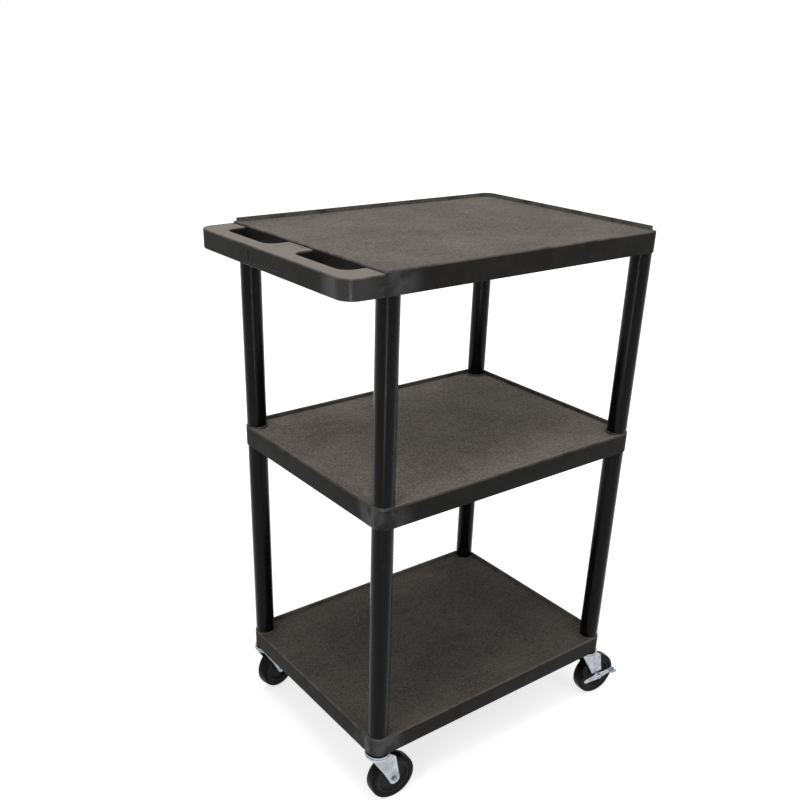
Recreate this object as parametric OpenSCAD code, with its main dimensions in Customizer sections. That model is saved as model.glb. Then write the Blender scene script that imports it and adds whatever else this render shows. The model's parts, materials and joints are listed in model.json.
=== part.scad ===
// Three-shelf projector cart: moulded shelves on round tube legs, with four swivel casters.
// X runs along the cart, with the push handle at the minus X end. Y runs across it and Z is up.
// The origin lies on the floor, under the middle of the shelves. The open long side faces minus Y.

/* [Shelves] */
// Length of each shelf, without the handle
shelf_l = 812.8; // [640:0.1:1000]
// Width of each shelf
shelf_w = 609.6; // [480:0.1:760]
// Height of a shelf's outer wall, from its bottom edge up to its deck
shelf_h = 50.8; // [48:0.1:70]
// Thickness of the deck plate
deck_t = 5; // [3:0.5:8]
// Thickness of the outer wall
wall_t = 5; // [3:0.5:8]
// Height of the retaining lip above the deck
lip_h = 6.35; // [4:0.05:12]
// Thickness of the retaining lip
lip_t = 6; // [4:0.5:10]
// Distance from the top deck's handle end to the start of its lip
lip_start = 12; // [6:1:60]
// Bevel along the top edge of the outer wall
edge_c = 3; // [0.5:0.25:3.5]
// Thickness of the ribs under the deck
rib_t = 3.5; // [2:0.5:6]
// Distance from the ribs' lower edge to the wall's lower edge
rib_up = 14; // [6:1:24]
// Number of ribs across the length
rib_cols = 6; // [4:1:9]
// Number of ribs across the width
rib_rows = 4; // [3:1:7]
// Radius of the top deck's two corners at the handle
deck_r = 6; // [3:0.5:12]
// Clear height between the bottom deck and the middle shelf
clear_lower = 585; // [350:1:800]
// Clear height between the middle deck and the top shelf
clear_upper = 465.8; // [250:0.1:700]

/* [Handle] */
// Reach of the handle beyond the top shelf's end
handle_l = 92; // [80:1:130]
// Step from the top deck down to the handle's upper face
handle_step = 5; // [2:0.5:8]
// Radius of the handle's two outer corners
handle_r = 38; // [30:1:70]
// Width of the bar that the hands grip
bar_w = 38; // [28:1:46]
// Width of the block between the two finger openings
block_w = 96; // [70:1:140]
// Width of each arm that joins the bar to the shelf
arm_w = 64; // [55:1:90]
// Radius of the openings' corners next to the bar
slot_r = 27; // [10:1:30]
// Length of the shallow bare panel on the bar's outer face
badge_l = 136; // [60:1:200]
// Height of that panel
badge_w = 22; // [10:1:28]
// Length of the shallow bare panel on the block's upper face
panel_l = 58; // [30:1:64]
// Width of that panel
panel_w = 40; // [20:1:50]
// Depth of both panels
panel_d = 0.8; // [0.4:0.1:1.5]

/* [Legs] */
// Diameter of the leg tubes
leg_d = 50.8; // [44:0.1:53]
// Wall of the leg tubes
leg_t = 3.2; // [2:0.1:6]
// Distance from a leg's axis to the shelf's edges, and the radius of the shelf's corners
leg_in = 28; // [27.5:0.5:40]
// Width of the collar round a leg
collar_w = 2; // [1:0.1:2.4]
// Height of the collars above the decks
collar_up = 2.5; // [1:0.1:6]
// Depth of the leg sockets in the bottom and middle shelves
socket_h = 24; // [14:1:24]
// Depth of the leg sockets under the top shelf
top_socket_h = 36; // [20:1:42]
// Radial gap between a leg and its socket
socket_gap = 0.1; // [0.05:0.05:0.3]

/* [Casters] */
// Height from the floor to the bottom shelf's lower edge
caster_h = 162; // [150:1:190]
// Clear height between a fork's plate and the wheel
wheel_gap = 21.8; // [18:0.1:40]
// Width of the tyres
tyre_w = 32; // [24:1:36]
// Thickness of the tyres
tyre_t = 16.5; // [12:0.5:24]
// Distance from the swivel axis back to the wheel's axle
trail = 40; // [30:1:48]
// Outer radius of the upper ball race
race_r = 31.5; // [30:0.5:36]
// Radius of the ring on which the balls run
ball_ring_r = 22; // [19:0.5:24]
// Diameter of a ball
ball_d = 8; // [6:0.5:8]
// Number of balls in a race
ball_count = 16; // [10:1:16]
// Thickness of the pressed steel of races and forks
steel_t = 2.8; // [2:0.1:3.5]
// Clear width between the fork's legs
fork_gap = 38; // [34:0.5:44]
// Radius of the rounded lower end of a fork leg
fork_end_r = 15; // [11:0.5:18]
// Diameter of the axle bolt
axle_d = 8; // [6:0.5:10]
// Outer diameter of the sleeve that the wheel turns on
sleeve_d = 12; // [11:0.5:16]
// Diameter of the caster's stem
stem_d = 11; // [9:0.5:13]
// Length of the stem above the bottom shelf's lower edge
stem_h = 28; // [18:1:29]
// Running clearance on the radius of pins, sleeves and balls
run_gap = 0.06; // [0.02:0.01:0.1]
// Direction in which the front left caster trails, in degrees from plus X
heading_front_left = -4; // [-180:1:180]
// Direction in which the back left caster trails
heading_back_left = 13; // [-180:1:180]
// Direction in which the front right caster trails
heading_front_right = -6; // [-180:1:180]
// Direction in which the back right caster trails
heading_back_right = 6; // [-180:1:180]

/* [Brakes] */
// Reach of the brake lever's pedal behind the axle
pedal_l = 60; // [50:1:100]
// Rise of the pedal above the axle
pedal_rise = 8; // [0:1:20]
// Reach of the release lobe in front of the axle
lobe_l = 47; // [28:1:56]
// Drop of the release lobe below the axle
lobe_drop = 4; // [0:1:20]
// Radius of the lever's hub
lever_hub_r = 11; // [10:0.5:16]
// Radius of the release lobe
lobe_r = 7; // [5:0.5:13]
// Thickness of the lever's plate
lever_t = 2.5; // [2:0.1:4]
// Width of the pedal
pedal_w = 14; // [10:1:26]
// Thickness of the cam between the lever and the fork
cam_t = 2.2; // [1.5:0.1:4]

/* [Hidden] */
$fn = 64;
// Overrun of every cut past the face it leaves
over = 1;

// Levels above the floor
bottom_z = caster_h;
middle_z = bottom_z + shelf_h + clear_lower;
top_z = middle_z + shelf_h + clear_upper;
collar_z = shelf_h + collar_up;

// Corners as signs of X and Y, in the order front left, back left, front right, back right
CORNERS = [[-1, -1], [-1, 1], [1, -1], [1, 1]];
HEADINGS = [heading_front_left, heading_back_left, heading_front_right, heading_back_right];
leg_x = shelf_l / 2 - leg_in;
leg_y = shelf_w / 2 - leg_in;
leg_r = leg_d / 2;
socket_r = leg_r + socket_gap;
inner_r = 1;
lip_rise = max(collar_up, lip_h);
boss_h = shelf_h - (edge_c + deck_t) / 2;
collar_c = min(edge_c, collar_up, collar_w) / 2;

// Handle
handle_x = shelf_l / 2 + handle_l;
handle_h = shelf_h - handle_step;
slot_x = handle_x - bar_w;
slot_end_y = shelf_w / 2 - arm_w;
block_y = block_w / 2;
pocket_h = handle_h - deck_t;

// Caster levels, measured down from the shelf's lower edge
axle_r = axle_d / 2;
sleeve_r = sleeve_d / 2;
ball_r = ball_d / 2;
stem_r = stem_d / 2;
pin_r = 6;
collar_t = 2;
collar_r = 12;
race_top = -collar_t;
race_bottom = race_top - steel_t;
groove_h = 1.2;
ball_z = race_bottom + groove_h - ball_r;
fork_plate_top = ball_z + groove_h - ball_r;
fork_plate_bottom = fork_plate_top - steel_t;
wheel_r = (caster_h + fork_plate_bottom - wheel_gap) / 2;
core_r = wheel_r - tyre_t;
axle_z = wheel_r - caster_h;
rim_gap = 0.6;
rim_h = (race_bottom - fork_plate_top - rim_gap) / 2;
fork_rim_r = race_r + rim_gap;
rivet_r = 10;
rivet_t = 2.4;
socket_wall = 2.5;
sleeve_socket_r = stem_r + run_gap + socket_wall;
web_h = collar_z - socket_h;
socket_cut = shelf_h + lip_rise + over - web_h;

// Fork legs, as points behind the swivel axis and below the fork's plate
fork_in = fork_gap / 2;
fork_out = fork_in + steel_t;
fork_root_x = 26;
fork_front_x = 15;
fork_knee_x = 4;
fork_back_x = 42;
fork_drop = fork_plate_bottom - axle_z;
fork_front_share = 0.22;
fork_knee_share = 0.57;
fork_back_share = 0.14;
front_tangent = 207;
back_tangent = 10;
ridge_out = 4.5;
ridge_x = 19;
ridge_tip_x = 27;
ridge_tip_share = 0.68;

// Wheel
hub_r = 13;
hub_gap = 1;
hub_half = fork_in - hub_gap;
tyre_half = tyre_w / 2;
rim_step = 1;
rim_half = tyre_half - rim_step;
rim_t = 7;
slope = 1.5;
web_half = 9;
shoulder = 4;
tyre_gap = 0.05;

// Axle hardware
head_t = 5.3;
head_r = 7.5;
nut_t = 6.5;
thread_out = 1.5;
cam_r = 11;
lug_r = 1.6;
lug_ring_r = 8;
play = 0.15;
brake_stack = cam_t + lever_t + 3 * play;
lever_y = -(fork_out + cam_t + 2 * play);
pedal_r = pedal_w / 2;
tip_r = 6;

// A level plate with rounded corners: rl at the minus X end, rr at the plus X end
module plate(l, w, rl, rr, h) {
    translate([-l / 2 + rl, -w / 2, 0]) cube([l - rl - rr, w, h]);
    translate([-l / 2, -w / 2 + rl, 0]) cube([l / 2, w - 2 * rl, h]);
    translate([0, -w / 2 + rr, 0]) cube([l / 2, w - 2 * rr, h]);
    for (s = [-1, 1]) {
        translate([-l / 2 + rl, s * (w / 2 - rl), 0]) cylinder(r = rl, h = h);
        translate([l / 2 - rr, s * (w / 2 - rr), 0]) cylinder(r = rr, h = h);
    }
}

// The bevelled layer on top of such a plate
module bevel_layer(l, w, rl, rr, c) {
    translate([-l / 2 + rl, 0, 0]) rotate([90, 0, 90]) linear_extrude(l - rl - rr)
        polygon([[-w / 2, 0], [w / 2, 0], [w / 2 - c, c], [-w / 2 + c, c]]);
    translate([0, w / 2 - rl, 0]) rotate([90, 0, 0]) linear_extrude(w - 2 * rl)
        polygon([[-l / 2, 0], [0, 0], [0, c], [-l / 2 + c, c]]);
    translate([0, w / 2 - rr, 0]) rotate([90, 0, 0]) linear_extrude(w - 2 * rr)
        polygon([[0, 0], [l / 2, 0], [l / 2 - c, c], [0, c]]);
    for (s = [-1, 1]) {
        translate([-l / 2 + rl, s * (w / 2 - rl), 0]) cylinder(r1 = rl, r2 = rl - c, h = c);
        translate([l / 2 - rr, s * (w / 2 - rr), 0]) cylinder(r1 = rr, r2 = rr - c, h = c);
    }
}

// The retaining lip along the back edge and the plus X end, starting at the distance start from the minus X end
module lip(rl, start) {
    lip_z = shelf_h - edge_c;
    tall = edge_c + lip_h;
    difference() {
        translate([0, 0, lip_z]) plate(shelf_l, shelf_w, rl, leg_in, tall);
        translate([0, 0, lip_z - over])
            plate(shelf_l - 2 * lip_t, shelf_w - 2 * lip_t, rl, leg_in - lip_t, tall + 2 * over);
        translate([-shelf_l, -shelf_w, lip_z - over]) {
            cube([2 * shelf_l, shelf_w / 2 + leg_in, tall + 2 * over]);
            cube([shelf_l / 2 + start, 2 * shelf_w, tall + 2 * over]);
        }
    }
    translate([start - shelf_l / 2, (shelf_w - lip_t) / 2, lip_z]) cylinder(r = lip_t / 2, h = tall);
    translate([(shelf_l - lip_t) / 2, leg_in - shelf_w / 2, lip_z]) cylinder(r = lip_t / 2, h = tall);
}

// The ribs that stiffen the deck from below
module ribs() {
    in_l = shelf_l - 2 * wall_t;
    in_w = shelf_w - 2 * wall_t;
    rib_h = shelf_h - deck_t / 2 - rib_up;
    for (i = [1:rib_cols])
        translate([-in_l / 2 + i * in_l / (rib_cols + 1) - rib_t / 2, -in_w / 2 - wall_t / 2, rib_up])
            cube([rib_t, in_w + wall_t, rib_h]);
    for (i = [1:rib_rows])
        translate([-in_l / 2 - wall_t / 2, -in_w / 2 + i * in_w / (rib_rows + 1) - rib_t / 2, rib_up])
            cube([in_l + wall_t, rib_t, rib_h]);
}

// One moulded shelf without its sockets; rl is the radius of its corners at the minus X end
module tray(rl, start, collars) {
    difference() {
        union() {
            plate(shelf_l, shelf_w, rl, leg_in, shelf_h - edge_c);
            translate([0, 0, shelf_h - edge_c]) bevel_layer(shelf_l, shelf_w, rl, leg_in, edge_c);
            lip(rl, start);
        }
        translate([0, 0, -over])
            plate(shelf_l - 2 * wall_t, shelf_w - 2 * wall_t, max(rl - wall_t, inner_r), leg_in - wall_t,
                shelf_h - deck_t + over);
    }
    ribs();
    for (k = CORNERS) translate([k[0] * leg_x, k[1] * leg_y, 0]) {
        cylinder(r = leg_in, h = boss_h);
        if (collars) translate([0, 0, shelf_h - deck_t]) {
            cylinder(r = leg_r + collar_w, h = collar_up + deck_t - collar_c);
            translate([0, 0, collar_up + deck_t - collar_c])
                cylinder(r1 = leg_r + collar_w, r2 = leg_r + collar_w - collar_c, h = collar_c);
        }
    }
}

// A leg socket bored down from z, depth h
module leg_socket(k, z, h) {
    translate([k[0] * leg_x, k[1] * leg_y, z]) cylinder(r = socket_r, h = h);
}

// The handle's plan: a bar and two arms with round outer corners, raised to height h
module handle_plan(h) {
    inner_x = shelf_l / 2 - leg_in;
    translate([-handle_x + handle_r, -shelf_w / 2, 0]) cube([handle_x - handle_r - inner_x, shelf_w, h]);
    translate([-handle_x, -shelf_w / 2 + handle_r, 0]) cube([handle_x - inner_x, shelf_w - 2 * handle_r, h]);
    for (s = [-1, 1]) translate([-handle_x + handle_r, s * (shelf_w / 2 - handle_r), 0])
        cylinder(r = handle_r, h = h);
}

// One finger opening, from the shelf's wall to the bar; s is the side of the block
module finger_slot(s) {
    y0 = min(s * block_y, s * slot_end_y);
    slot_l = slot_end_y - block_y;
    deep = handle_h + 2 * over;
    translate([-slot_x + slot_r, y0, -over]) cube([slot_x - slot_r - shelf_l / 2, slot_l, deep]);
    translate([-slot_x, y0 + slot_r, -over]) cube([slot_x - shelf_l / 2, slot_l - 2 * slot_r, deep]);
    for (y = [y0 + slot_r, y0 + slot_l - slot_r]) translate([-slot_x + slot_r, y, -over])
        cylinder(r = slot_r, h = deep);
}

// The hollows under the handle, which leave its walls and its upper face
module handle_pockets() {
    bar_y = shelf_w / 2 - handle_r;
    arm_x0 = -handle_x + handle_r;
    arm_len = handle_x - handle_r - shelf_l / 2 - wall_t;
    translate([-handle_x + wall_t, -bar_y, -over]) cube([bar_w - 2 * wall_t, 2 * bar_y, pocket_h + over]);
    for (s = [-1, 1]) {
        y0 = min(s * (slot_end_y + wall_t), s * (shelf_w / 2 - wall_t));
        translate([arm_x0, y0, -over]) cube([arm_len, arm_w - 2 * wall_t, pocket_h + over]);
    }
    translate([-slot_x + wall_t, -block_y + wall_t, -over])
        cube([slot_x - shelf_l / 2 - 2 * wall_t, block_w - 2 * wall_t, pocket_h + over]);
}

// The two shallow bare panels, on the bar's outer face and on the block
module panels() {
    translate([-handle_x - over, -badge_l / 2, (handle_h - badge_w) / 2])
        cube([over + panel_d, badge_l, badge_w]);
    translate([-(slot_x + shelf_l / 2) / 2 - panel_w / 2, -panel_l / 2, handle_h - panel_d])
        cube([panel_w, panel_l, panel_d + over]);
}

module top_shelf() {
    color([0.33, 0.32, 0.29]) translate([0, 0, top_z]) difference() {
        union() {
            tray(deck_r, lip_start, false);
            difference() {
                handle_plan(handle_h);
                handle_pockets();
                translate([-shelf_l / 2 + wall_t, -shelf_w, -over]) cube([leg_in, 2 * shelf_w, 2 * handle_h]);
            }
        }
        for (s = [-1, 1]) finger_slot(s);
        panels();
        for (k = CORNERS) leg_socket(k, -over, top_socket_h + over);
    }
}

module middle_shelf() {
    color([0.27, 0.26, 0.24]) translate([0, 0, middle_z]) difference() {
        tray(leg_in, leg_in, true);
        for (k = CORNERS) {
            leg_socket(k, -over, socket_h + over);
            leg_socket(k, web_h, socket_cut);
        }
    }
}

module bottom_shelf() {
    color([0.2, 0.2, 0.19]) translate([0, 0, bottom_z]) difference() {
        tray(leg_in, leg_in, true);
        for (k = CORNERS) {
            leg_socket(k, web_h, socket_cut);
            translate([k[0] * leg_x, k[1] * leg_y, -over])
                cylinder(r = sleeve_socket_r + run_gap, h = web_h + 2 * over);
        }
    }
}

// A leg tube on corner i, from z0 up to z1
module leg_tube(i, z0, z1) {
    color([0.06, 0.06, 0.07]) translate([CORNERS[i][0] * leg_x, CORNERS[i][1] * leg_y, z0]) difference() {
        cylinder(r = leg_r, h = z1 - z0);
        translate([0, 0, -over]) cylinder(r = leg_r - leg_t, h = z1 - z0 + 2 * over);
    }
}

module upper_leg(i) leg_tube(i, middle_z + collar_z - socket_h, top_z + top_socket_h);

module lower_leg(i) leg_tube(i, bottom_z + web_h, middle_z + socket_h);

// Puts a caster's piece on corner i: z = 0 is the shelf's lower edge and X is the way it trails
module at_caster(i) {
    translate([CORNERS[i][0] * leg_x, CORNERS[i][1] * leg_y, bottom_z]) rotate([0, 0, HEADINGS[i]]) children();
}

// The steel socket that is pressed into the bottom shelf and grips the stem
module socket(i) {
    color([0.6, 0.6, 0.6]) at_caster(i) difference() {
        cylinder(r = sleeve_socket_r, h = web_h);
        translate([0, 0, -over]) cylinder(r = stem_r + run_gap, h = web_h + 2 * over);
    }
}

// Stem, collar, kingpin and its riveted head, in one turned piece
module stem(i) {
    color([0.75, 0.75, 0.76]) at_caster(i) {
        cylinder(r = stem_r, h = stem_h);
        translate([0, 0, -collar_t]) cylinder(r = collar_r, h = collar_t);
        translate([0, 0, fork_plate_bottom - run_gap - rivet_t / 2])
            cylinder(r = pin_r, h = -collar_t - fork_plate_bottom + run_gap + rivet_t / 2 + collar_t / 2);
        translate([0, 0, fork_plate_bottom - run_gap - rivet_t]) cylinder(r = rivet_r, h = rivet_t);
    }
}

// The groove that the balls run in
module ball_groove() {
    translate([0, 0, ball_z]) rotate_extrude() translate([ball_ring_r, 0]) circle(r = ball_r + run_gap);
}

// The turned edge of a race, a ring of radius r from z0 up to z1
module rim(r, z0, z1) {
    translate([0, 0, z0]) difference() {
        cylinder(r = r, h = z1 - z0);
        translate([0, 0, -over]) cylinder(r = r - steel_t, h = z1 - z0 + 2 * over);
    }
}

module race(i) {
    color([0.78, 0.78, 0.8]) at_caster(i) difference() {
        union() {
            translate([0, 0, race_bottom]) cylinder(r = race_r, h = steel_t);
            rim(race_r, race_bottom - rim_h, race_top - steel_t / 2);
        }
        ball_groove();
        translate([0, 0, race_bottom - over]) cylinder(r = pin_r + run_gap, h = steel_t + 2 * over);
    }
}

module balls(i) {
    color([0.8, 0.8, 0.8]) at_caster(i)
        for (a = [0:ball_count - 1]) rotate([0, 0, a * 360 / ball_count]) translate([ball_ring_r, 0, ball_z])
            sphere(r = ball_r, $fn = 24);
}

// A fork leg's outline in its own plane, X backwards and Y up, with the axle at the origin's height
module fork_outline() {
    polygon([
        [-fork_root_x, fork_plate_bottom + steel_t / 2],
        [-fork_front_x, fork_plate_bottom - fork_front_share * fork_drop],
        [fork_knee_x, fork_plate_bottom - fork_knee_share * fork_drop],
        [trail + fork_end_r * cos(front_tangent), axle_z + fork_end_r * sin(front_tangent)],
        [trail, axle_z],
        [trail + fork_end_r * cos(back_tangent), axle_z + fork_end_r * sin(back_tangent)],
        [fork_back_x, fork_plate_bottom - fork_back_share * fork_drop],
        [fork_root_x, fork_plate_bottom + steel_t / 2]
    ]);
}

// The pressed ridge on a fork leg's outer face, three slanting facets that meet along one crease
module fork_ridge() {
    z_top = fork_plate_bottom;
    y_in = -fork_out + steel_t / 2;
    y_face = -fork_out;
    tip_z = fork_plate_bottom - ridge_tip_share * fork_drop;
    polyhedron(
        points = [
            [-fork_root_x + steel_t, y_face, z_top],
            [fork_root_x - steel_t, y_face, z_top],
            [fork_back_x - 2 * steel_t, y_face, fork_plate_bottom - fork_back_share * fork_drop],
            [ridge_tip_x, y_face, tip_z],
            [ridge_x, y_face - ridge_out, fork_plate_bottom - steel_t],
            [-fork_root_x + steel_t, y_in, z_top],
            [fork_root_x - steel_t, y_in, z_top],
            [fork_back_x - 2 * steel_t, y_in, fork_plate_bottom - fork_back_share * fork_drop],
            [ridge_tip_x, y_in, tip_z]
        ],
        faces = [
            [0, 1, 4], [1, 2, 4], [2, 3, 4], [3, 0, 4],
            [8, 7, 6, 5],
            [0, 5, 6, 1], [1, 6, 7, 2], [2, 7, 8, 3], [3, 8, 5, 0]
        ]
    );
}

module fork_leg() {
    translate([0, -fork_in, 0]) rotate([90, 0, 0]) linear_extrude(steel_t) fork_outline();
    translate([trail, -fork_in, axle_z]) rotate([90, 0, 0]) cylinder(r = fork_end_r, h = steel_t);
    fork_ridge();
}

module fork(i) {
    color([0.74, 0.75, 0.76]) at_caster(i) difference() {
        union() {
            translate([0, 0, fork_plate_bottom]) cylinder(r = fork_rim_r, h = steel_t);
            rim(fork_rim_r, fork_plate_bottom + steel_t / 2, fork_plate_top + rim_h);
            fork_leg();
            mirror([0, 1, 0]) fork_leg();
        }
        ball_groove();
        translate([0, 0, fork_plate_bottom - over]) cylinder(r = pin_r + run_gap, h = steel_t + 2 * over);
        translate([trail, 0, axle_z]) rotate([90, 0, 0])
            cylinder(r = axle_r + run_gap, h = 4 * fork_out, center = true);
    }
}

// A ring or shaft on the wheel's axle, from y0 to y1 across the fork
module on_axle(y0, y1) {
    translate([trail, y1, axle_z]) rotate([90, 0, 0]) linear_extrude(y1 - y0) children();
}

// A shape turned about the wheel's axle from its half outline
module about_axle() {
    translate([trail, 0, axle_z]) rotate([90, 0, 0]) rotate_extrude() children();
}

module sleeve(i) {
    color([0.7, 0.7, 0.7]) at_caster(i) on_axle(-fork_in, fork_in) difference() {
        circle(r = sleeve_r);
        circle(r = axle_r + run_gap);
    }
}

// Corners on the plus X side carry a brake, whose pieces lie under the bolt's head
function braked(i) = CORNERS[i][0] > 0;

module axle_bolt(i) {
    under_head = -fork_out - (braked(i) ? brake_stack : 0);
    color([0.82, 0.82, 0.82]) at_caster(i) {
        on_axle(under_head - head_t / 2, fork_out + nut_t + thread_out) circle(r = axle_r);
        on_axle(under_head - head_t, under_head) circle(r = head_r, $fn = 6);
    }
}

module axle_nut(i) {
    color([0.82, 0.82, 0.82]) at_caster(i) on_axle(fork_out, fork_out + nut_t) difference() {
        circle(r = head_r, $fn = 6);
        circle(r = axle_r + run_gap);
    }
}

module wheel_core(i) {
    color([0.16, 0.16, 0.16]) at_caster(i) about_axle() polygon([
        [sleeve_r + run_gap, -hub_half],
        [hub_r, -hub_half],
        [hub_r + slope, -web_half],
        [core_r - rim_t, -web_half],
        [core_r - rim_t + slope, -rim_half],
        [core_r, -rim_half],
        [core_r, rim_half],
        [core_r - rim_t + slope, rim_half],
        [core_r - rim_t, web_half],
        [hub_r + slope, web_half],
        [hub_r, hub_half],
        [sleeve_r + run_gap, hub_half]
    ]);
}

module tyre(i) {
    color([0.07, 0.07, 0.08]) at_caster(i) about_axle() polygon([
        [core_r + tyre_gap, -rim_half],
        [core_r + shoulder, -tyre_half],
        [wheel_r - shoulder, -tyre_half],
        [wheel_r - shoulder / 4, -tyre_half + shoulder / 2],
        [wheel_r, -tyre_half + shoulder],
        [wheel_r, tyre_half - shoulder],
        [wheel_r - shoulder / 4, tyre_half - shoulder / 2],
        [wheel_r - shoulder, tyre_half],
        [core_r + shoulder, tyre_half],
        [core_r + tyre_gap, rim_half]
    ]);
}

// The lever's plate seen from the side, with its hub at the origin and X backwards
module lever_outline() {
    hull() {
        circle(r = lever_hub_r);
        translate([-lobe_l, -lobe_drop]) circle(r = lobe_r);
    }
    hull() {
        circle(r = lever_hub_r);
        translate([pedal_l - tip_r, pedal_rise]) circle(r = tip_r);
    }
}

// The two lugs that key the cam to the lever
module lugs(r) {
    for (s = [-1, 1]) translate([s * lug_ring_r, 0]) circle(r = r);
}

module brake_lever(i) {
    foot_x = pedal_l - tip_r;
    foot_z = lever_t / 2 + pedal_rise - tip_r;
    color([0.77, 0.78, 0.76]) at_caster(i) {
        difference() {
            on_axle(lever_y - lever_t, lever_y) lever_outline();
            on_axle(lever_y - lever_t - over, lever_y + over) {
                circle(r = axle_r + run_gap);
                lugs(lug_r + run_gap);
            }
        }
        translate([trail, lever_y - lever_t / 2, axle_z]) {
            translate([foot_x - pedal_w, -pedal_w, foot_z]) cube([pedal_w, pedal_w, lever_t]);
            translate([foot_x, -pedal_r, foot_z]) cylinder(r = pedal_r, h = lever_t);
        }
    }
}

module brake_cam(i) {
    color([0.5, 0.5, 0.5]) at_caster(i) {
        on_axle(-fork_out - play - cam_t, -fork_out - play) difference() {
            circle(r = cam_r);
            circle(r = axle_r + run_gap);
        }
        on_axle(lever_y - lever_t / 2, -fork_out - play - cam_t / 2) lugs(lug_r);
    }
}

top_shelf();
middle_shelf();
bottom_shelf();
upper_leg(0);  // upper_leg_front_left
upper_leg(1);  // upper_leg_back_left
upper_leg(2);  // upper_leg_front_right
upper_leg(3);  // upper_leg_back_right
lower_leg(0);  // lower_leg_front_left
lower_leg(1);  // lower_leg_back_left
lower_leg(2);  // lower_leg_front_right
lower_leg(3);  // lower_leg_back_right
socket(0);  // socket_front_left
socket(1);  // socket_back_left
socket(2);  // socket_front_right
socket(3);  // socket_back_right
stem(0);  // stem_front_left
stem(1);  // stem_back_left
stem(2);  // stem_front_right
stem(3);  // stem_back_right
race(0);  // race_front_left
race(1);  // race_back_left
race(2);  // race_front_right
race(3);  // race_back_right
balls(0);  // balls_front_left
balls(1);  // balls_back_left
balls(2);  // balls_front_right
balls(3);  // balls_back_right
fork(0);  // fork_front_left
fork(1);  // fork_back_left
fork(2);  // fork_front_right
fork(3);  // fork_back_right
sleeve(0);  // sleeve_front_left
sleeve(1);  // sleeve_back_left
sleeve(2);  // sleeve_front_right
sleeve(3);  // sleeve_back_right
axle_bolt(0);  // axle_bolt_front_left
axle_bolt(1);  // axle_bolt_back_left
axle_bolt(2);  // axle_bolt_front_right
axle_bolt(3);  // axle_bolt_back_right
axle_nut(0);  // axle_nut_front_left
axle_nut(1);  // axle_nut_back_left
axle_nut(2);  // axle_nut_front_right
axle_nut(3);  // axle_nut_back_right
wheel_core(0);  // wheel_core_front_left
wheel_core(1);  // wheel_core_back_left
wheel_core(2);  // wheel_core_front_right
wheel_core(3);  // wheel_core_back_right
tyre(0);  // tyre_front_left
tyre(1);  // tyre_back_left
tyre(2);  // tyre_front_right
tyre(3);  // tyre_back_right
brake_lever(2);  // brake_lever_front_right
brake_lever(3);  // brake_lever_back_right
brake_cam(2);  // brake_cam_front_right
brake_cam(3);  // brake_cam_back_right
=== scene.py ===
# %% [markdown]
# A three-shelf projector cart, dressed for a studio picture. Its exact shape comes from a packed
# engineering model, which fills the role of a measured frame. Each cell here adds one thing on top:
# rounded mouldings, turned wheels, pressed steel, then finishes, lights and a camera.
# The first cell loads that frame.

import json
import math

import bmesh
import bpy
from mathutils import Matrix, Vector


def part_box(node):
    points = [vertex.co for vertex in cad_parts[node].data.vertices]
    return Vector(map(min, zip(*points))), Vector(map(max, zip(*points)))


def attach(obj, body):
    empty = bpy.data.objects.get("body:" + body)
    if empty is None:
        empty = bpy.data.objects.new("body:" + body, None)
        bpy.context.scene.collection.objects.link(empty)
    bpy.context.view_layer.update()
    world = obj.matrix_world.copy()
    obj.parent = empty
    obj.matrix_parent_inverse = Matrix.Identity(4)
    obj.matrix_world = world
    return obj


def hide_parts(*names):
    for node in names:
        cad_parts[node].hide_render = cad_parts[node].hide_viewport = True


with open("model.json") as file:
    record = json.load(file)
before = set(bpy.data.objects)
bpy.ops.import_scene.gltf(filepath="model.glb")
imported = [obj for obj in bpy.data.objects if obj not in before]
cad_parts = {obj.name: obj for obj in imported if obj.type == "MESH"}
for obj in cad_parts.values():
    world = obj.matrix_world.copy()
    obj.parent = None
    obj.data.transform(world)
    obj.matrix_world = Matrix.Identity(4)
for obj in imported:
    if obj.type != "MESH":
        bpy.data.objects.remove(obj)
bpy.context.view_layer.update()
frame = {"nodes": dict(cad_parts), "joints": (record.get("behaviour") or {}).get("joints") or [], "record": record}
MM = 0.001

# %% [markdown]
# The corners are named as a person standing at the open long side sees them. A caster swivels about
# its leg's axis, so its wheel trails behind that axis. The swivel joint gives the axis's place, and
# the roll joint gives the axle's middle and direction, so nothing here has to be measured twice.

# %% Read the corners and axles from the joints
CORNERS = ("front_left", "back_left", "front_right", "back_right")
BRAKED = ("front_right", "back_right")
joints = {j["name"]: j for j in frame["joints"]}
swivel_point = {c: Vector(joints["swivel_" + c]["pos_m"]) for c in CORNERS}
axle_point = {c: Vector(joints["roll_" + c]["pos_m"]) for c in CORNERS}
axle_line = {c: Vector(joints["roll_" + c]["axis"]).normalized() for c in CORNERS}
for corner in CORNERS:
    print(corner, "axle at", [round(v, 4) for v in axle_point[corner]])

# %% [markdown]
# Every new piece goes through the same few steps: its mesh is finished, its object stays at the
# origin, it is tied to the body that carries it, and the frame node that it stands for is hidden.
# Edges that turn by less than a set angle are shaded smooth and sharper ones stay crisp, and a
# weighted normal modifier then keeps large flat faces flat right up to their rounded edges.

# %% Define how a piece is finished
def finish_piece(bm, name, body, node, smooth_angle=38):
    for edge in bm.edges:
        edge.smooth = len(edge.link_faces) == 2 and edge.calc_face_angle(0) < math.radians(smooth_angle)
    for face in bm.faces:
        face.smooth = True
    mesh = bpy.data.meshes.new(name)
    bm.to_mesh(mesh)
    bm.free()
    piece = bpy.data.objects.new(name, mesh)
    bpy.context.scene.collection.objects.link(piece)
    normals = piece.modifiers.new("Even normals", "WEIGHTED_NORMAL")
    normals.keep_sharp = True
    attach(piece, body)
    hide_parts(node)
    print(name, "has", len(mesh.polygons), "faces")
    return piece

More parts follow.
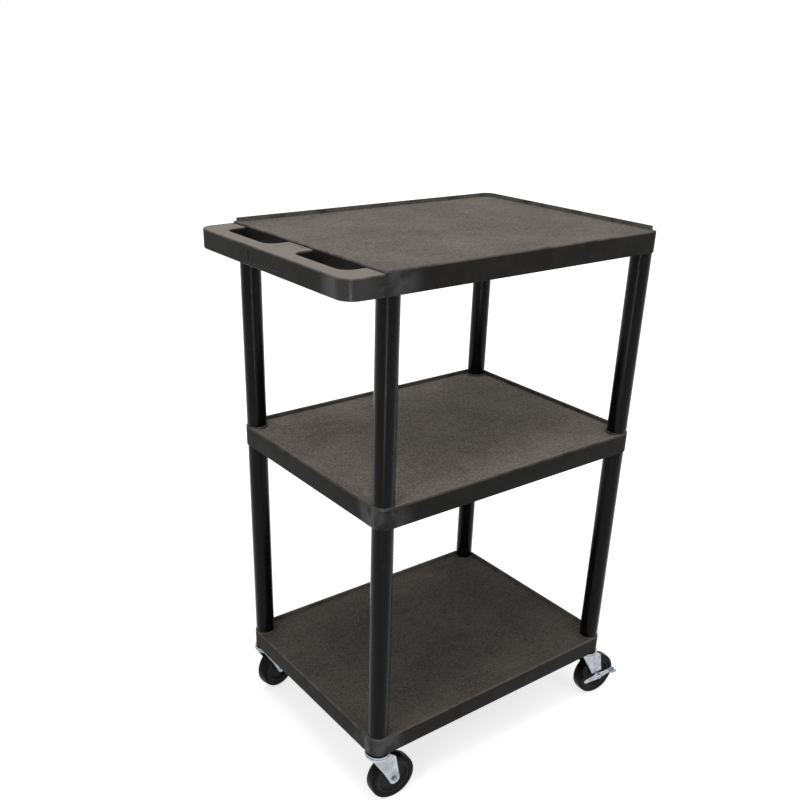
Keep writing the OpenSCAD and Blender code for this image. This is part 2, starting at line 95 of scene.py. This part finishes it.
# %% [markdown]
# Real mouldings and pressings have no knife edges: a small radius on every edge catches a thin line
# of light, and that line is what makes plastic and steel look solid. The frame's meshes are sharp and
# may not be changed, so a copy is merged, its flat areas are joined into single faces, and the edges
# that a rule picks are bevelled. The rule looks at where an edge lies, so inner ribs can stay plain.

# %% Define a rounded copy of a frame node
WELD = 0.003 * MM
FLAT_ANGLE = math.radians(0.5)


def merged_copy(node):
    bm = bmesh.new()
    bm.from_mesh(frame["nodes"][node].data)
    bmesh.ops.remove_doubles(bm, verts=bm.verts, dist=WELD)
    bmesh.ops.dissolve_limit(bm, angle_limit=FLAT_ANGLE, verts=bm.verts, edges=bm.edges)
    return bm


def round_edges(bm, width, segments, pick, angle=30):
    chosen = [
        e for e in bm.edges
        if len(e.link_faces) == 2 and e.calc_face_angle(0) > math.radians(angle)
        and pick((e.verts[0].co + e.verts[1].co) / 2, e)
    ]
    bmesh.ops.bevel(bm, geom=chosen, offset=width, offset_type="OFFSET", segments=segments,
                    profile=0.5, affect="EDGES", clamp_overlap=False, material=-1)
    return len(chosen)

# %% [markdown]
# The shelves are moulded in structural foam. Their top edge already has a sloping bevel in the frame,
# which smooth shading turns into a soft edge. The raised lip and the lower edge are still sharp, so
# they get a small radius. Only long straight runs are picked, because a bevel that runs into the round
# corner of a leg would leave spikes there.

# %% Define the lip and the lower edge of the shelves
SHELVES = ("top_shelf", "middle_shelf", "bottom_shelf")
LIP_HEIGHT = 6.35 * MM
LEVEL, CLOSE = 0.1 * MM, 0.3 * MM
LEG_CLEARANCE, LONG_RUN = 34 * MM, 100 * MM
shelf_low = {n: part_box(n)[0] for n in SHELVES}
shelf_high = {n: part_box(n)[1] for n in SHELVES}
deck_half_x = shelf_high["middle_shelf"].x
deck_half_y = shelf_high["middle_shelf"].y
deck_level = {n: shelf_high[n].z - LIP_HEIGHT for n in SHELVES}
print("deck levels in metres:", {n: round(z, 4) for n, z in deck_level.items()})


def is_flat(e):
    return abs(e.verts[0].co.z - e.verts[1].co.z) < LEVEL


def clear_of_legs(p):
    return min((p.to_2d() - swivel_point[c].to_2d()).length for c in CORNERS) > LEG_CLEARANCE


def lip_rims(node):
    return lambda p, e: is_flat(e) and p.z > shelf_high[node].z - CLOSE and clear_of_legs(p)


def lower_edges(node):
    def pick(p, e):
        at_wall = abs(abs(p.y) - deck_half_y) < CLOSE or abs(abs(p.x) - deck_half_x) < CLOSE
        return is_flat(e) and at_wall and abs(p.z - shelf_low[node].z) < CLOSE and e.calc_length() > LONG_RUN
    return pick

# %% [markdown]
# The deck of the real shelf is a little lower than its border: it slopes down gently inside the two
# open sides and meets the lip at its foot on the other two. The frame keeps the deck flat. To sink it,
# the upward faces at deck level are cut along the start and the end of the slope, which only adds
# points on the flat face, and then every point is lowered by how far inside the border it lies.

# %% Define how a deck is sunk
SINK = 3.2 * MM
SLOPE_START, SLOPE_END = 8 * MM, 26 * MM
UPWARD = 0.9
DECK_MARGIN = 0.2 * MM
SMALLEST_DECK_FACE = 1e-5


def on_deck(face, level):
    middle = face.calc_center_median()
    at_level = face.normal.z > UPWARD and abs(middle.z - level) < DECK_MARGIN
    return at_level and face.calc_area() > SMALLEST_DECK_FACE and middle.x > -deck_half_x


def sink_deck(bm, node):
    def deck_faces():
        return [f for f in bm.faces if on_deck(f, deck_level[node])]

    corner = Vector((-deck_half_x, -deck_half_y, 0))
    cuts = [(corner + Vector((d, 0, 0)), Vector((1, 0, 0))) for d in (SLOPE_START, SLOPE_END)]
    cuts += [(corner + Vector((0, d, 0)), Vector((0, 1, 0))) for d in (SLOPE_START, SLOPE_END)]
    cuts.append((corner, Vector((1, -1, 0)).normalized()))
    for point, normal in cuts:
        faces = deck_faces()
        geometry = set(faces) | {e for f in faces for e in f.edges} | {v for f in faces for v in f.verts}
        bmesh.ops.bisect_plane(bm, geom=list(geometry), plane_co=point, plane_no=normal, dist=1e-6)
    for v in {v for f in deck_faces() for v in f.verts}:
        inside = min(v.co.x - corner.x, v.co.y - corner.y)
        share = min(max((inside - SLOPE_START) / (SLOPE_END - SLOPE_START), 0.0), 1.0)
        v.co.z -= SINK * share
    print(node, "deck sunk by", round(SINK / MM, 1), "mm")

# %% [markdown]
# The two lower shelves are plain trays, so they only need the shared steps: the sunk deck, the small
# radius along the lip and the smaller one along the lower edge. Each radius comes with its number of
# segments, since a larger one needs more of them to look round.

# %% Finish the two lower shelves
LIP_ROUND = (1.2 * MM, 3)
LOWER_ROUND = (0.9 * MM, 2)
shelf_pieces = {}


def finish_shelf(bm, node):
    rims = round_edges(bm, *LIP_ROUND, lip_rims(node))
    lower = round_edges(bm, *LOWER_ROUND, lower_edges(node))
    print(node, "rounded lip edges:", rims, "lower edges:", lower)
    return finish_piece(bm, node + "_moulding", "cart", node, smooth_angle=50)


for node in ("middle_shelf", "bottom_shelf"):
    bm = merged_copy(node)
    sink_deck(bm, node)
    shelf_pieces[node] = finish_shelf(bm, node)

# %% [markdown]
# The handle is gripped, so it is rounder than the rest: its lower rim turns in by several millimetres
# and its upper edges and finger openings have a soft radius that shows as a bright line. The handle's
# top lies a few millimetres below the deck.

# %% Define the edges of the handle
HANDLE_DROP = 5 * MM
HANDLE_CORNER = 38 * MM
HANDLE_LOWER_ROUND = (3.6 * MM, 4)
HANDLE_UPPER_ROUND = (2.4 * MM, 3)
handle_low = shelf_low["top_shelf"]
handle_top = deck_level["top_shelf"] - HANDLE_DROP
handle_end_x = -deck_half_x - 1 * MM
corner_middle = Vector((handle_low.x + HANDLE_CORNER, deck_half_y - HANDLE_CORNER))


def on_handle_outline(p):
    if p.x > handle_end_x:
        return False
    from_middle = Vector((p.x, abs(p.y))) - corner_middle
    in_corner = from_middle.x < 0 and from_middle.y > 0
    on_arc = in_corner and from_middle.length > HANDLE_CORNER - 1 * MM
    return p.x < handle_low.x + CLOSE or abs(p.y) > deck_half_y - CLOSE or on_arc


def handle_lower_rim(p, e):
    return is_flat(e) and abs(p.z - handle_low.z) < CLOSE and on_handle_outline(p)


def handle_upper_edges(p, e):
    return is_flat(e) and abs(p.z - handle_top) < CLOSE and p.x < handle_end_x

# %% Round the top shelf and its handle
bm = merged_copy("top_shelf")
sink_deck(bm, "top_shelf")
print("handle's lower rim edges:", round_edges(bm, *HANDLE_LOWER_ROUND, handle_lower_rim))
print("handle's upper edges:", round_edges(bm, *HANDLE_UPPER_ROUND, handle_upper_edges))
shelf_pieces["top_shelf"] = finish_shelf(bm, "top_shelf")

# %% [markdown]
# A wheel is a turned shape, so each of its two pieces is a half outline that is spun once round the
# axle. The outline is drawn beside the axle in a local frame, as radius and distance from the wheel's
# middle, spun, and then carried to its caster.

# %% Define a turned piece on an axle
def to_axle(corner):
    side = axle_line[corner]
    up = Vector((0, 0, 1))
    back = side.cross(up)
    turn = Matrix((back, side, up)).transposed().to_4x4()
    return Matrix.Translation(axle_point[corner]) @ turn


def turned(profile, corner, steps=96):
    bm = bmesh.new()
    loop = [bm.verts.new((r * MM, y * MM, 0)) for r, y in profile]
    edges = [bm.edges.new((a, b)) for a, b in zip(loop, loop[1:] + loop[:1])]
    bmesh.ops.spin(bm, geom=loop + edges, cent=(0, 0, 0), axis=(0, 1, 0), angle=2 * math.pi,
                   steps=steps, use_merge=True, use_duplicate=False)
    bmesh.ops.remove_doubles(bm, verts=bm.verts, dist=0.002 * MM)
    bmesh.ops.recalc_face_normals(bm, faces=bm.faces)
    bmesh.ops.transform(bm, matrix=to_axle(corner), verts=bm.verts)
    return bm


def mirrored(half):
    return half + [(r, -y) for r, y in reversed(half) if abs(y) > 1e-6]

# %% [markdown]
# The tyre is hard rubber with a slightly crowned tread and soft shoulders. The wheel's centre is a
# moulded disc with a raised rim, a shallow dish and a hub that keeps it off the fork. Both are the same
# on their two sides, so only one half of each outline is written down, in millimetres.

# %% Turn the tyres and the wheel centres
TYRE = mirrored([
    (47.05, 15.0), (48.2, 15.2), (49.0, 15.9), (50.4, 16.0), (57.6, 16.0), (59.6, 15.7), (61.2, 14.9),
    (62.3, 13.6), (62.9, 11.8), (63.2, 9.0), (63.4, 5.0), (63.49, 1.2), (63.49, 0.0),
])
CENTRE = mirrored([
    (6.06, 17.9), (11.6, 17.9), (12.6, 17.6), (13.2, 16.6), (14.2, 10.6), (15.2, 9.5), (17.0, 9.0),
    (36.6, 9.0), (38.6, 9.5), (39.8, 11.0), (40.6, 13.8), (41.4, 14.8), (42.6, 15.0), (47.0, 15.0),
])
wheel_pieces = {}
for corner in CORNERS:
    body = "wheel_" + corner
    tyre = finish_piece(turned(TYRE, corner), "rolling_tyre_" + corner, body,
                        "tyre_" + corner)
    centre = finish_piece(turned(CENTRE, corner), "wheel_centre_" + corner, body,
                          "wheel_core_" + corner)
    wheel_pieces[corner] = (tyre, centre)

# %% [markdown]
# Forks, races, levers, bolts and nuts are bright zinc-plated steel. Each gets a rounded copy, with a
# radius of half a millimetre or less, because pressed sheet always shows a lit edge. The very shortest
# edges are left out, because a bevel folds over itself there.

# %% Round the steel parts
SHORTEST_EDGE = 0.35 * MM


def long_enough(p, e):
    return e.calc_length() > SHORTEST_EDGE


steel_pieces = {}
for corner in CORNERS:
    carrier = "caster_" + corner
    jobs = [("fork_", carrier, 0.5), ("race_", "cart", 0.45),
            ("axle_bolt_", carrier, 0.4), ("axle_nut_", carrier, 0.4)]
    if corner in BRAKED:
        jobs.append(("brake_lever_", "brake_" + corner, 0.5))
    for prefix, body, radius in jobs:
        node = prefix + corner
        bm = merged_copy(node)
        round_edges(bm, radius * MM, 2, long_enough, angle=28)
        steel_pieces[node] = finish_piece(bm, node + "_plated", body, node, smooth_angle=32)

# %% [markdown]
# Finishes are small node trees. Black plastic is never one flat colour: its grain is a fine bump,
# slow noise makes the moulding's swirls, and thin stretched noise makes the scuffs. All patterns read
# Object coordinates, which stay put on a piece when it is seen from elsewhere. The helpers below add
# one or two nodes each. Most take either another node's output or a plain value.

# %% Define helpers for node trees
def new_material(name):
    material = bpy.data.materials.new(name)
    material.use_nodes = True
    tree = material.node_tree
    place = tree.nodes.new("ShaderNodeTexCoord")
    return material, tree, tree.nodes["Principled BSDF"], place.outputs["Object"]


def feed(tree, value, socket):
    if hasattr(value, "is_output"):
        tree.links.new(value, socket)
    else:
        socket.default_value = value


def compute(tree, operation, *values):
    node = tree.nodes.new("ShaderNodeMath")
    node.operation = operation
    for socket, value in zip(node.inputs, values):
        feed(tree, value, socket)
    return node.outputs["Value"]


def times(tree, a, b):
    return compute(tree, "MULTIPLY", a, b)


def split(tree, vector):
    node = tree.nodes.new("ShaderNodeSeparateXYZ")
    tree.links.new(vector, node.inputs["Vector"])
    return node.outputs

# %% Define helpers for patterns and colours
def noise(tree, vector, scale, detail=4.0, rough=0.55, stretch=None):
    if stretch:
        mapping = tree.nodes.new("ShaderNodeMapping")
        mapping.inputs["Scale"].default_value = stretch
        tree.links.new(vector, mapping.inputs["Vector"])
        vector = mapping.outputs["Vector"]
    texture = tree.nodes.new("ShaderNodeTexNoise")
    texture.inputs["Scale"].default_value = scale
    texture.inputs["Detail"].default_value = detail
    texture.inputs["Roughness"].default_value = rough
    tree.links.new(vector, texture.inputs["Vector"])
    return texture.outputs["Fac"]


def ramp(tree, value, stops):
    node = tree.nodes.new("ShaderNodeValToRGB")
    elements = node.color_ramp.elements
    elements.remove(elements[1])
    elements[0].position, elements[0].color = stops[0]
    for position, colour in stops[1:]:
        elements.new(position).color = colour
    tree.links.new(value, node.inputs["Fac"])
    return node.outputs["Color"]


def mix(tree, factor, a, b):
    node = tree.nodes.new("ShaderNodeMix")
    node.data_type = "RGBA"
    for name, value in (("Factor", factor), ("A", a), ("B", b)):
        feed(tree, value, node.inputs[name])
    return node.outputs["Result"]


def layered(tree, colour, layers):
    for mask, layer in layers:
        colour = mix(tree, mask, colour, layer)
    return colour


def bump(tree, height, strength, distance, normal=None):
    node = tree.nodes.new("ShaderNodeBump")
    node.inputs["Strength"].default_value = strength
    node.inputs["Distance"].default_value = distance
    tree.links.new(height, node.inputs["Height"])
    if normal is not None:
        tree.links.new(normal, node.inputs["Normal"])
    return node.outputs["Normal"]


def grey(value, warm=0.0, cool=0.0):
    return (value * (1 + warm), value, value * (1 - warm + cool), 1.0)

# %% [markdown]
# Masks say where something happens. A span turns a range of any value into a soft step from one level
# to another, and a step whose range runs backwards falls instead of rising. A spot does this with the
# distance from a point, so it fades out over a ball in space.

# %% Define masks by place
def span(tree, value, low_value, high_value, low_out=0.0, high_out=1.0):
    node = tree.nodes.new("ShaderNodeMapRange")
    node.interpolation_type = "SMOOTHSTEP"
    node.inputs["From Min"].default_value = low_value
    node.inputs["From Max"].default_value = high_value
    node.inputs["To Min"].default_value = low_out
    node.inputs["To Max"].default_value = high_out
    tree.links.new(value, node.inputs["Value"])
    return node.outputs["Result"]


def distance(tree, place, centre):
    node = tree.nodes.new("ShaderNodeVectorMath")
    node.operation = "DISTANCE"
    node.inputs[1].default_value = centre
    tree.links.new(place, node.inputs[0])
    return node.outputs["Value"]


def spot(tree, place, centre, radius):
    return span(tree, distance(tree, place, centre), radius * 0.35, radius, 1.0, 0.0)

# %% [markdown]
# The shelves are black structural foam. Looked at closely, a deck is a brown-grey pebble grain with
# pale flecks and scuffs, while the upright walls are smoother and blacker. The decks' much lighter
# colour is partly painted light from above and the walls' blackness partly painted shade. Both are
# built in layers: each layer is a mask and the colour that it lets through.

# %% Define the colours of the moulded plastic
def plastic_patterns(tree, place):
    return {
        "cloud": noise(tree, place, 5.0, 4.0, 0.55),
        "swirl": noise(tree, place, 17.0, 5.0, 0.62, stretch=(1.0, 1.8, 1.0)),
        "pebble": noise(tree, place, 250.0, 3.0, 0.6),
        "grain": noise(tree, place, 640.0, 2.0, 0.55),
        "scratch": noise(tree, place, 120.0, 3.0, 0.7, stretch=(0.07, 1.0, 1.0)),
    }


# Painted light: upward deck faces get a far lighter colour than the walls, scaled for each shelf.
def painted_lit_deck_colour(tree, patterns, painted_light_scale, on_handle):
    base = ramp(tree, patterns["swirl"], [(0.25, grey(0.078 * painted_light_scale, 0.10)), (0.75, grey(0.112 * painted_light_scale, 0.12))])
    flecks = times(tree, span(tree, patterns["grain"], 0.66, 0.76), 0.5)
    scratches = times(tree, span(tree, patterns["scratch"], 0.70, 0.78), 0.35)
    return layered(tree, base, (
        (span(tree, patterns["cloud"], 0.40, 0.72), grey(0.135 * painted_light_scale, 0.12)),
        (span(tree, patterns["pebble"], 0.50, 0.72), grey(0.185 * painted_light_scale, 0.14)),
        (span(tree, patterns["pebble"], 0.48, 0.30), grey(0.045 * painted_light_scale, 0.16)),
        (flecks, grey(0.28 * painted_light_scale, 0.08)),
        (scratches, grey(0.24 * painted_light_scale, 0.07)),
        (times(tree, on_handle, 0.52), grey(0.27 * painted_light_scale, 0.11)),
    ))


# Painted shade: upright walls get a far darker colour than the decks, scaled for each shelf.
def painted_shaded_wall_colour(tree, patterns, painted_light_scale, pale_marks, scuffed):
    base = ramp(tree, patterns["swirl"], [(0.30, grey(0.0085 * painted_light_scale, 0.07)), (0.75, grey(0.019 * painted_light_scale, 0.07))])
    pebbles = times(tree, span(tree, patterns["pebble"], 0.60, 0.74), 0.6)
    return layered(tree, base, (
        (pebbles, grey(0.040 * painted_light_scale, 0.05)),
        # Painted edge highlight: the pale strip just under the top edge.
        (pale_marks, grey(0.110 * painted_light_scale, 0.09)),
        (scuffed, grey(0.058 * painted_light_scale, 0.0, 0.08)),
    ))

# %% [markdown]
# One material does both deck and wall: the mesh's own upward normal, read before any bump, chooses
# between them, so upward faces get the painted light and upright ones the painted shade. The height of
# a point draws a pale strip just under the top edge, a painted edge highlight broken up by noise. The
# near leg's corner is scuffed and the near end of the handle is rubbed smooth, which a clear coat shows
# as shine.

# %% Define the moulded plastic of the shelves
def moulded_plastic(name, edge_z, deck_painted_light, wall_painted_light):
    material, tree, shader, place = new_material(name)
    patterns = plastic_patterns(tree, place)
    where = split(tree, place)
    geometry = tree.nodes.new("ShaderNodeNewGeometry")
    up = span(tree, split(tree, geometry.outputs["True Normal"])["Z"], 0.80, 0.95)
    on_handle = span(tree, where["X"], -deck_half_x, -deck_half_x - 1.5 * MM)

    height = compute(tree, "MULTIPLY_ADD", on_handle, HANDLE_DROP, where["Z"])
    # Painted edge highlight: a pale strip just under the top edge, broken up by noise.
    pale_marks = times(tree, span(tree, height, edge_z - 5.0 * MM, edge_z - 1.6 * MM),
                 span(tree, patterns["swirl"], 0.34, 0.56, 0.45, 1.0))
    leg_corner = (*swivel_point["front_left"].to_2d(), edge_z - 25 * MM)
    grip_corner = (-deck_half_x - 70 * MM, -deck_half_y + 22 * MM, edge_z - 25 * MM)
    scuffed = times(tree, spot(tree, place, leg_corner, 80 * MM),
                    span(tree, patterns["swirl"], 0.36, 0.62, 0.15, 0.8))
    rubbed = spot(tree, place, grip_corner, 85 * MM)

    deck = painted_lit_deck_colour(tree, patterns, deck_painted_light, on_handle)
    wall = painted_shaded_wall_colour(tree, patterns, wall_painted_light, pale_marks, scuffed)
    # The upward normal picks between the painted-light deck colour and the painted-shade wall colour.
    tree.links.new(mix(tree, up, wall, deck), shader.inputs["Base Color"])
    tree.links.new(span(tree, up, 0.0, 1.0, 0.50, 0.72), shader.inputs["Roughness"])
    shader.inputs["Specular IOR Level"].default_value = 0.06

    shine = compute(tree, "MAXIMUM", times(tree, rubbed, 0.55), times(tree, scuffed, 0.45))
    tree.links.new(times(tree, shine, span(tree, up, 0.95, 0.60)), shader.inputs["Coat Weight"])
    shader.inputs["Coat IOR"].default_value = 1.45
    shader.inputs["Coat Roughness"].default_value = 0.24

    coarse = bump(tree, patterns["pebble"], 0.25, 1.0 * MM)
    fine = bump(tree, patterns["grain"], 0.30, 0.5 * MM, coarse)
    tree.links.new(bump(tree, patterns["cloud"], 0.10, 4 * MM, fine), shader.inputs["Normal"])
    return material

# %% [markdown]
# Each shelf gets its own copy of that plastic, with its own painted light and shade for the deck and for
# the walls. These scales match each level to the photograph in this studio, where the upper shelves
# shade the lower ones.

# %% Dress the shelves
# Painted light and shade: how much lighter or darker each shelf's deck and walls are made.
SHELF_PAINTED_LIGHT = {"top_shelf": (1.0, 1.0), "middle_shelf": (1.98, 0.78), "bottom_shelf": (0.82, 1.1)}


def dress(thing, material):
    thing.data.materials.clear()
    thing.data.materials.append(material)


shelf_finish = {}
for node, piece in shelf_pieces.items():
    title = "Structural foam of the " + node.replace("_", " ")
    shelf_finish[node] = moulded_plastic(title, deck_level[node], *SHELF_PAINTED_LIGHT[node])
    dress(piece, shelf_finish[node])
print("shelves dressed:", len(shelf_pieces))

# %% [markdown]
# The tubes are extruded plastic, smoother and blacker than the shelves, with a soft sheen that draws
# long upright highlights. Handling leaves faint lengthwise scuffs, made by noise stretched along Z.

# %% Make the tube plastic
def tube_plastic():
    material, tree, shader, place = new_material("Extruded black tube")
    streak = noise(tree, place, 60.0, 4.0, 0.6, stretch=(1.0, 1.0, 0.06))
    scuff = noise(tree, place, 38.0, 6.0, 0.65, stretch=(1.0, 1.0, 0.35))
    base = ramp(tree, streak, [(0.30, (0.0024, 0.0025, 0.0029, 1)), (0.75, (0.0046, 0.0047, 0.0051, 1))])
    pale_marks = ramp(tree, scuff, [(0.64, grey(0)), (0.80, grey(0.5))])
    tree.links.new(mix(tree, pale_marks, base, (0.030, 0.030, 0.031, 1)), shader.inputs["Base Color"])
    tree.links.new(ramp(tree, scuff, [(0.35, grey(0.24)), (0.75, grey(0.38))]), shader.inputs["Roughness"])
    shader.inputs["Specular IOR Level"].default_value = 0.04
    shader.inputs["Coat Weight"].default_value = 1.0
    shader.inputs["Coat IOR"].default_value = 1.12
    shader.inputs["Coat Roughness"].default_value = 0.20
    tree.links.new(bump(tree, noise(tree, place, 300.0, 2.0), 0.06, 0.6 * MM), shader.inputs["Normal"])
    return material


tube_finish = tube_plastic()
print("made:", tube_finish.name)

# %% [markdown]
# Zinc plate is bright and slightly blue, with a grain of tiny crystals that breaks up reflections. The
# balls in the casters are polished steel without a plating.

# %% Make the metals
def zinc_plate():
    material, tree, shader, place = new_material("Bright zinc plate")
    shader.inputs["Metallic"].default_value = 1.0
    patch = noise(tree, place, 55.0, 3.0, 0.5)
    spangle = noise(tree, place, 260.0, 3.0, 0.6)
    base = ramp(tree, patch, [(0.34, (0.29, 0.31, 0.335, 1)), (0.66, (0.47, 0.50, 0.54, 1))])
    dirt = times(tree, span(tree, spangle, 0.58, 0.72), 0.45)
    tree.links.new(mix(tree, dirt, base, (0.16, 0.165, 0.18, 1)), shader.inputs["Base Color"])
    tree.links.new(ramp(tree, patch, [(0.3, grey(0.16)), (0.75, grey(0.28))]), shader.inputs["Roughness"])
    tree.links.new(bump(tree, noise(tree, place, 420.0, 2.0), 0.08, 0.5 * MM), shader.inputs["Normal"])
    return material


def polished_steel():
    material, tree, shader, place = new_material("Polished steel")
    shader.inputs["Metallic"].default_value = 1.0
    cloud = noise(tree, place, 150.0, 3.0)
    tree.links.new(ramp(tree, cloud, [(0.3, grey(0.40)), (0.7, grey(0.78))]), shader.inputs["Base Color"])
    tree.links.new(ramp(tree, cloud, [(0.3, grey(0.16)), (0.7, grey(0.28))]), shader.inputs["Roughness"])
    return material


zinc_finish = zinc_plate()
steel_finish = polished_steel()
print("made:", zinc_finish.name, "and", steel_finish.name)

# %% [markdown]
# The tyre is hard rubber, nearly black and a little glossy. The wheel's centre is moulded plastic,
# browner and duller. They are the same small tree with other numbers, so one function makes both.

# %% Make the wheel finishes
def dull_black(name, scale, dark, light, specular, smooth, rough, bump_scale, bump_strength):
    material, tree, shader, place = new_material(name)
    cloud = noise(tree, place, scale, 4.0)
    tree.links.new(ramp(tree, cloud, [(0.3, dark), (0.7, light)]), shader.inputs["Base Color"])
    tree.links.new(ramp(tree, cloud, [(0.3, grey(smooth)), (0.7, grey(rough))]), shader.inputs["Roughness"])
    shader.inputs["Specular IOR Level"].default_value = specular
    surface = noise(tree, place, bump_scale, 2.0)
    tree.links.new(bump(tree, surface, bump_strength, 0.5 * MM), shader.inputs["Normal"])
    return material


tyre_finish = dull_black("Hard rubber tyre", 45.0, grey(0.003), grey(0.006), specular=0.06,
                         smooth=0.24, rough=0.40, bump_scale=350.0, bump_strength=0.10)
centre_finish = dull_black("Moulded wheel centre", 60.0, grey(0.012, 0.06), grey(0.028, 0.08),
                           specular=0.08, smooth=0.40, rough=0.55, bump_scale=500.0, bump_strength=0.12)
print("made:", tyre_finish.name, "and", centre_finish.name)

# %% [markdown]
# The new pieces take their finish directly. The frame's own nodes only get their material slots filled,
# each by the kind of material that the part's record names, so that no node keeps a plain colour.

# %% Give every piece and node its finish
for corner in CORNERS:
    dress(wheel_pieces[corner][0], tyre_finish)
    dress(wheel_pieces[corner][1], centre_finish)
for piece in steel_pieces.values():
    dress(piece, zinc_finish)
by_slot = {
    "deck_plastic": shelf_finish["middle_shelf"], "leg_plastic": tube_finish, "zinc_steel": zinc_finish,
    "ball_steel": steel_finish, "wheel_plastic": centre_finish, "tyre_rubber": tyre_finish,
}
for part in frame["record"]["subparts"]:
    node = frame["nodes"][part["node"]]
    for slot in node.material_slots:
        slot.material = shelf_finish.get(part["node"], by_slot[part["material_slot"]])
    if not node.material_slots:
        node.data.materials.append(by_slot[part["material_slot"]])

# %% [markdown]
# The floor is a large pale disc that keeps the cart's shadow, under a plain sky. The background has to
# be white without more light on the cart, so Light Path decides: rays from the camera, mirrors and
# clear things see a white sky and a floor that glows a little, more so further out where the lamps
# don't reach, and every other ray sees a dimmer sky and a plain matt floor.

# %% Define the rays that see the white studio
def sees_background(tree):
    rays = tree.nodes.new("ShaderNodeLightPath")
    value = rays.outputs["Is Camera Ray"]
    for other in ("Is Glossy Ray", "Is Transmission Ray"):
        value = compute(tree, "MAXIMUM", value, rays.outputs[other])
    return value


def choose_shader(tree, factor, plain, seen):
    node = tree.nodes.new("ShaderNodeMixShader")
    tree.links.new(factor, node.inputs["Fac"])
    tree.links.new(plain.outputs[0], node.inputs[1])
    tree.links.new(seen.outputs[0], node.inputs[2])
    return node

# %% Lay the floor
FLOOR_RADIUS = 14.0
GLOW_FROM, GLOW_TO = 0.7, 2.2
GLOW_NEAR, GLOW_FAR = 0.68, 1.0
bm = bmesh.new()
bmesh.ops.create_circle(bm, cap_ends=True, segments=96, radius=FLOOR_RADIUS)
floor_mesh = bpy.data.meshes.new("studio_floor")
bm.to_mesh(floor_mesh)
bm.free()
floor = bpy.data.objects.new("studio_floor", floor_mesh)
bpy.context.scene.collection.objects.link(floor)

floor_material, tree, matt, place = new_material("Pale floor")
matt.inputs["Base Color"].default_value = (0.82, 0.82, 0.82, 1)
matt.inputs["Roughness"].default_value = 0.95
matt.inputs["Specular IOR Level"].default_value = 0.0
glow = tree.nodes.new("ShaderNodeEmission")
from_middle = distance(tree, place, (0, 0, 0))
strength = span(tree, from_middle, GLOW_FROM, GLOW_TO, GLOW_NEAR, GLOW_FAR)
tree.links.new(strength, glow.inputs["Strength"])
glowing = tree.nodes.new("ShaderNodeAddShader")
tree.links.new(matt.outputs[0], glowing.inputs[0])
tree.links.new(glow.outputs[0], glowing.inputs[1])
floor_choice = choose_shader(tree, sees_background(tree), matt, glowing)
tree.links.new(floor_choice.outputs[0], tree.nodes["Material Output"].inputs["Surface"])
floor_mesh.materials.append(floor_material)
print("floor radius:", FLOOR_RADIUS)

# %% Set the sky
world = bpy.data.worlds.new("Studio sky")
bpy.context.scene.world = world
world.use_nodes = True
tree = world.node_tree
soft = tree.nodes["Background"]
soft.inputs["Color"].default_value = (0.97, 0.98, 1.0, 1)
soft.inputs["Strength"].default_value = 0.32
white = tree.nodes.new("ShaderNodeBackground")
white.inputs["Color"].default_value = (1, 1, 1, 1)
white.inputs["Strength"].default_value = 1.0
sky = choose_shader(tree, sees_background(tree), soft, white)
tree.links.new(sky.outputs[0], tree.nodes["World Output"].inputs["Surface"])
print("sky:", world.name)

# %% [markdown]
# Soft lamps do most of the work: a broad one overhead for the decks, and a tall one at each of the two
# open sides. Two small lamps light no dull surface at all, so they only add sharp highlights, as a
# flash does: bright rims, a streak on the handle's corner and glints on the steel.

# %% Place the lamps
def area_lamp(name, place, aim, size, power):
    light = bpy.data.lights.new(name, "AREA")
    light.shape = "RECTANGLE"
    light.size, light.size_y = size
    light.energy = power
    lamp = bpy.data.objects.new(name, light)
    bpy.context.scene.collection.objects.link(lamp)
    lamp.location = place
    lamp.rotation_euler = (Vector(aim) - Vector(place)).to_track_quat("-Z", "Y").to_euler()
    return lamp


area_lamp("Overhead softbox", (-0.3, -0.2, 4.2), (0, 0, 0.8), (2.6, 2.2), 62)
area_lamp("Left softbox", (-3.2, -1.4, 2.4), (0, 0, 0.9), (1.2, 2.2), 26)
area_lamp("Front softbox", (0.6, -3.6, 2.2), (0, 0, 0.8), (1.0, 2.0), 20)
flash = area_lamp("Small camera-side lamp", (-1.72, -1.72, 2.02), (-0.2, -0.1, 0.9), (0.26, 0.26), 24)
low_strip = area_lamp("Low strip light", (-1.26, -1.36, 0.67), (-0.2, -0.1, 0.9), (0.08, 0.55), 5)
for lamp in (flash, low_strip):
    lamp.visible_diffuse = False

# %% [markdown]
# The camera stands high at the handle end and looks down along the open side. Its place, turn and
# focal length were found by matching the straight edges and tubes in the photograph, which takes the
# picture as 800 pixels square. The lens's middle isn't the picture's middle, hence the small shift.

# %% Set the camera
CAMERA_AT = Vector((-1.47964, -1.73862, 1.77771))
LOOK = Vector((0.53983, 0.71791, -0.43952))
RIGHT = Vector((0.80508, -0.59282, 0.02051))
FOCAL_PX, CENTRE_U, CENTRE_V, SIZE_PX = 941.58, 382.87, 490.66, 800.0

lens = bpy.data.cameras.new("Studio camera")
lens.sensor_width = 36.0
lens.lens = FOCAL_PX / SIZE_PX * lens.sensor_width
lens.shift_x = (SIZE_PX / 2 - CENTRE_U) / SIZE_PX
lens.shift_y = (CENTRE_V - SIZE_PX / 2) / SIZE_PX
lens.clip_start = 0.05
camera = bpy.data.objects.new("Studio camera", lens)
bpy.context.scene.collection.objects.link(camera)
turn = Matrix((RIGHT, RIGHT.cross(LOOK).normalized(), -LOOK)).transposed().to_4x4()
camera.matrix_world = Matrix.Translation(CAMERA_AT) @ turn
bpy.context.scene.camera = camera
bpy.context.scene.view_settings.view_transform = "Standard"
print("focal length", round(lens.lens, 2), "mm")
